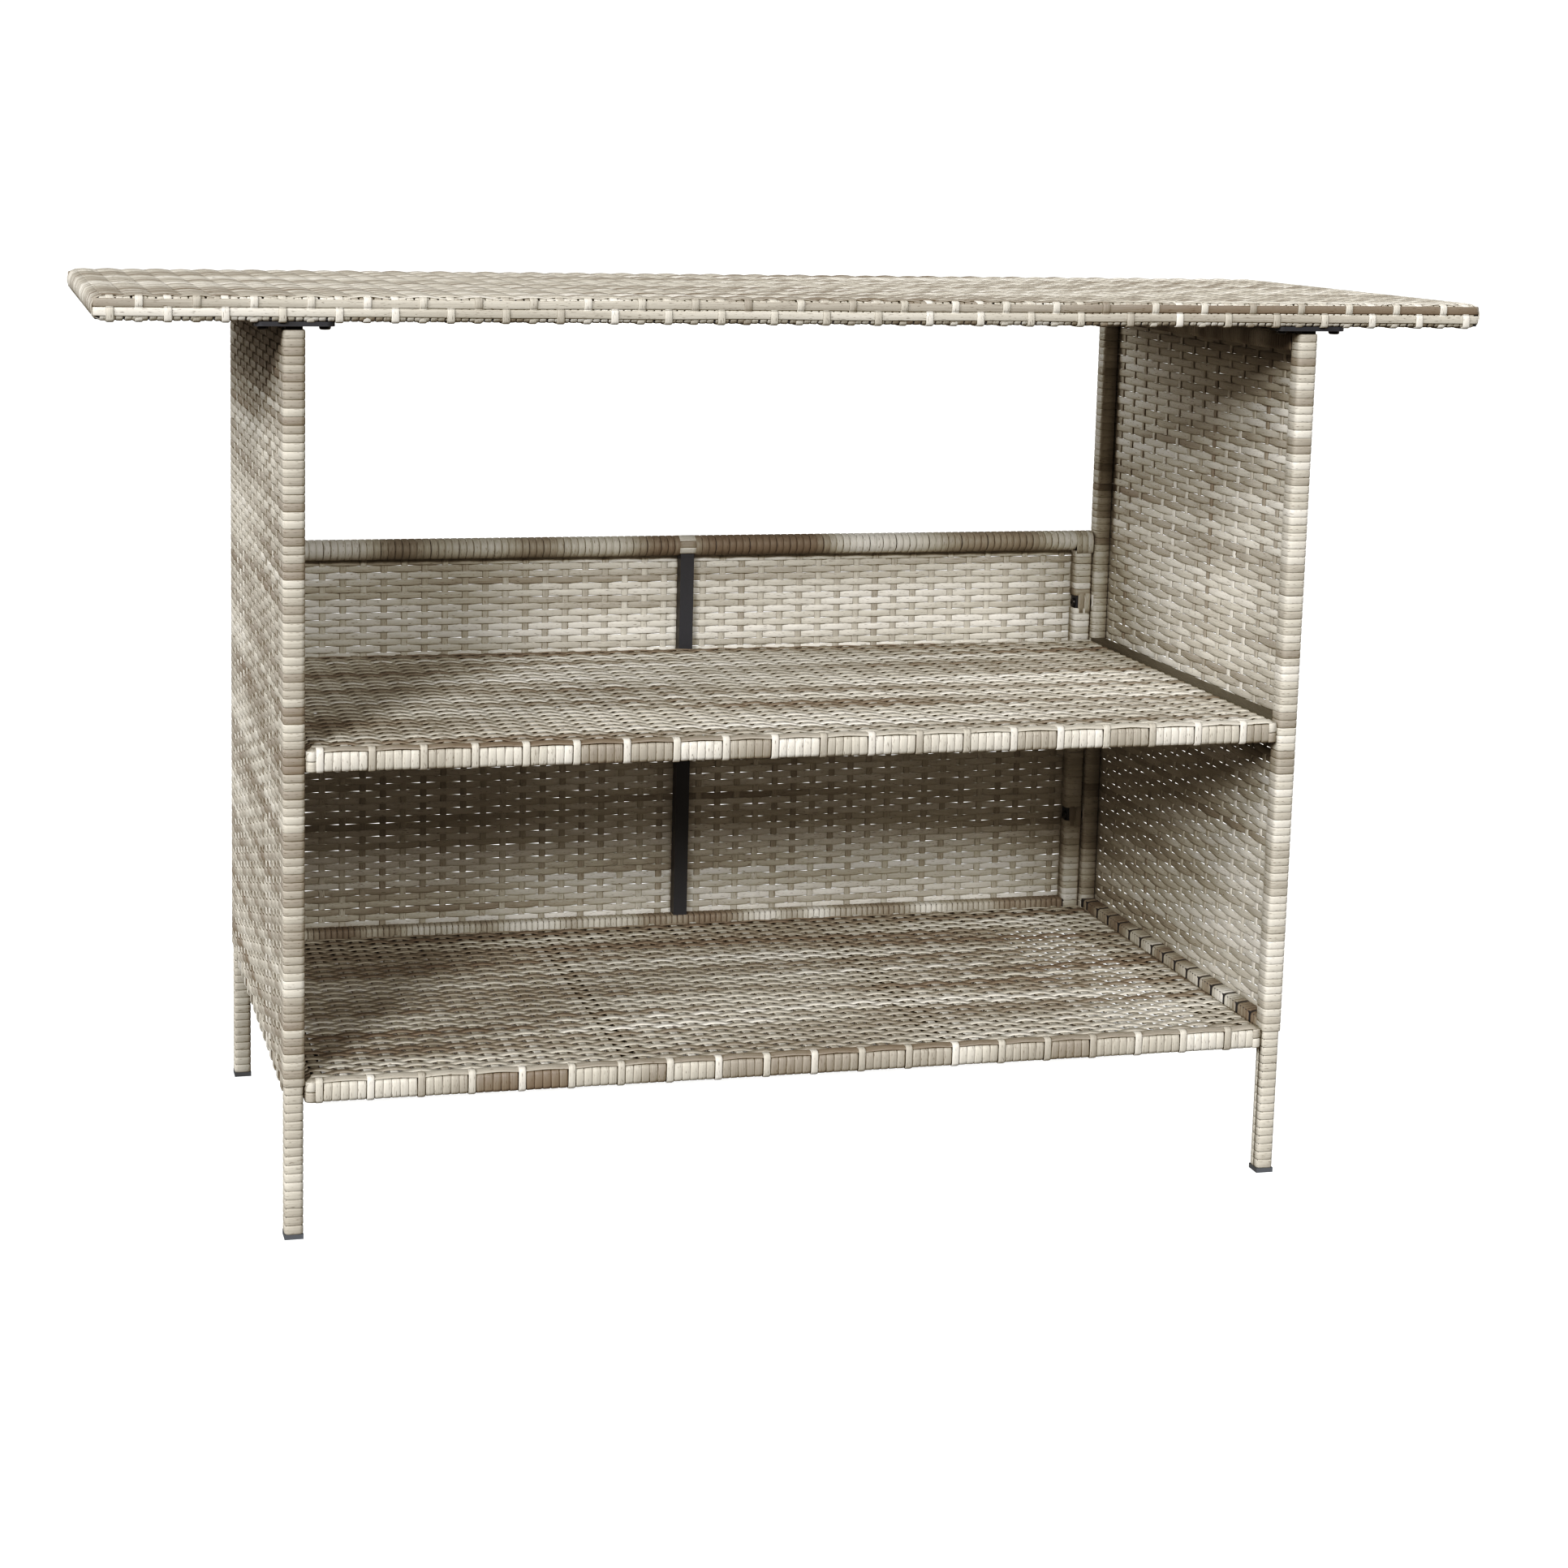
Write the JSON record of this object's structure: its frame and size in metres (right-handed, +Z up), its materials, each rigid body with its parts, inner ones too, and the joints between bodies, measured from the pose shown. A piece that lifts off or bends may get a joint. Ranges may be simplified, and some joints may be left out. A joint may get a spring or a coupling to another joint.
{
  "type": "wicker bar table",
  "caption": "Rectangular bar table with a woven strand top, woven side panels, a low woven back and open woven shelves on the server's side, built on bolted steel tube frames.",
  "frame": {"origin": "on the floor, under the middle of the table top", "axes": "+X along the table's length, +Y towards the closed woven back, +Z up; the open shelves face -Y"},
  "size_m": [1.4, 0.55, 0.92],
  "materials": {
    "wicker": "matte",
    "black_steel": "satin",
    "grey_steel": "satin",
    "hardware": "satin",
    "foot_plastic": "matte"
  },
  "bodies": {
    "root": {"back_bolts": "hardware", "back_bottom_rail": "black_steel", "back_bottom_rail_wrap": "wicker", "back_centre_post": "black_steel", "back_spacers": "hardware", "back_stile_wraps": "wicker", "back_top_rail": "black_steel", "back_top_rail_wrap": "wicker", "back_woven_panel": "wicker", "bracket_bolts": "hardware", "bracket_plates": "black_steel", "foot_caps": "foot_plastic", "left_back_stile": "black_steel", "left_bottom_rail": "black_steel", "left_bottom_rail_wrap": "wicker", "left_front_leg": "black_steel", "left_front_leg_wrap": "wicker", "left_lower_leg_wraps": "wicker", "left_middle_rail": "grey_steel", "left_rear_leg": "black_steel", "left_rear_leg_wrap": "wicker", "left_top_rail": "black_steel", "left_top_rail_wrap": "wicker", "left_woven_panel": "wicker", "lower_shelf_cross_bars": "black_steel", "lower_shelf_edge_wraps": "wicker", "lower_shelf_end_rails": "black_steel", "lower_shelf_front_rail": "black_steel", "lower_shelf_rear_rail": "black_steel", "lower_shelf_woven_face": "wicker", "middle_shelf_cross_bars": "black_steel", "middle_shelf_edge_wraps": "wicker", "middle_shelf_end_rails": "black_steel", "middle_shelf_front_rail": "black_steel", "middle_shelf_rear_rail": "black_steel", "middle_shelf_woven_face": "wicker", "right_back_stile": "black_steel", "right_bottom_rail": "black_steel", "right_bottom_rail_wrap": "wicker", "right_front_leg": "black_steel", "right_front_leg_wrap": "wicker", "right_lower_leg_wraps": "wicker", "right_middle_rail": "grey_steel", "right_rear_leg": "black_steel", "right_rear_leg_wrap": "wicker", "right_top_rail": "black_steel", "right_top_rail_wrap": "wicker", "right_woven_panel": "wicker", "rivet_nuts": "hardware", "shelf_bolts": "hardware", "top_cross_bars": "black_steel", "top_end_edge_wraps": "wicker", "top_front_edge_wrap": "wicker", "top_front_rail": "black_steel", "top_left_rail": "black_steel", "top_rear_edge_wrap": "wicker", "top_rear_rail": "black_steel", "top_right_rail": "black_steel", "top_woven_face": "wicker"}
  },
  "joints": []
}
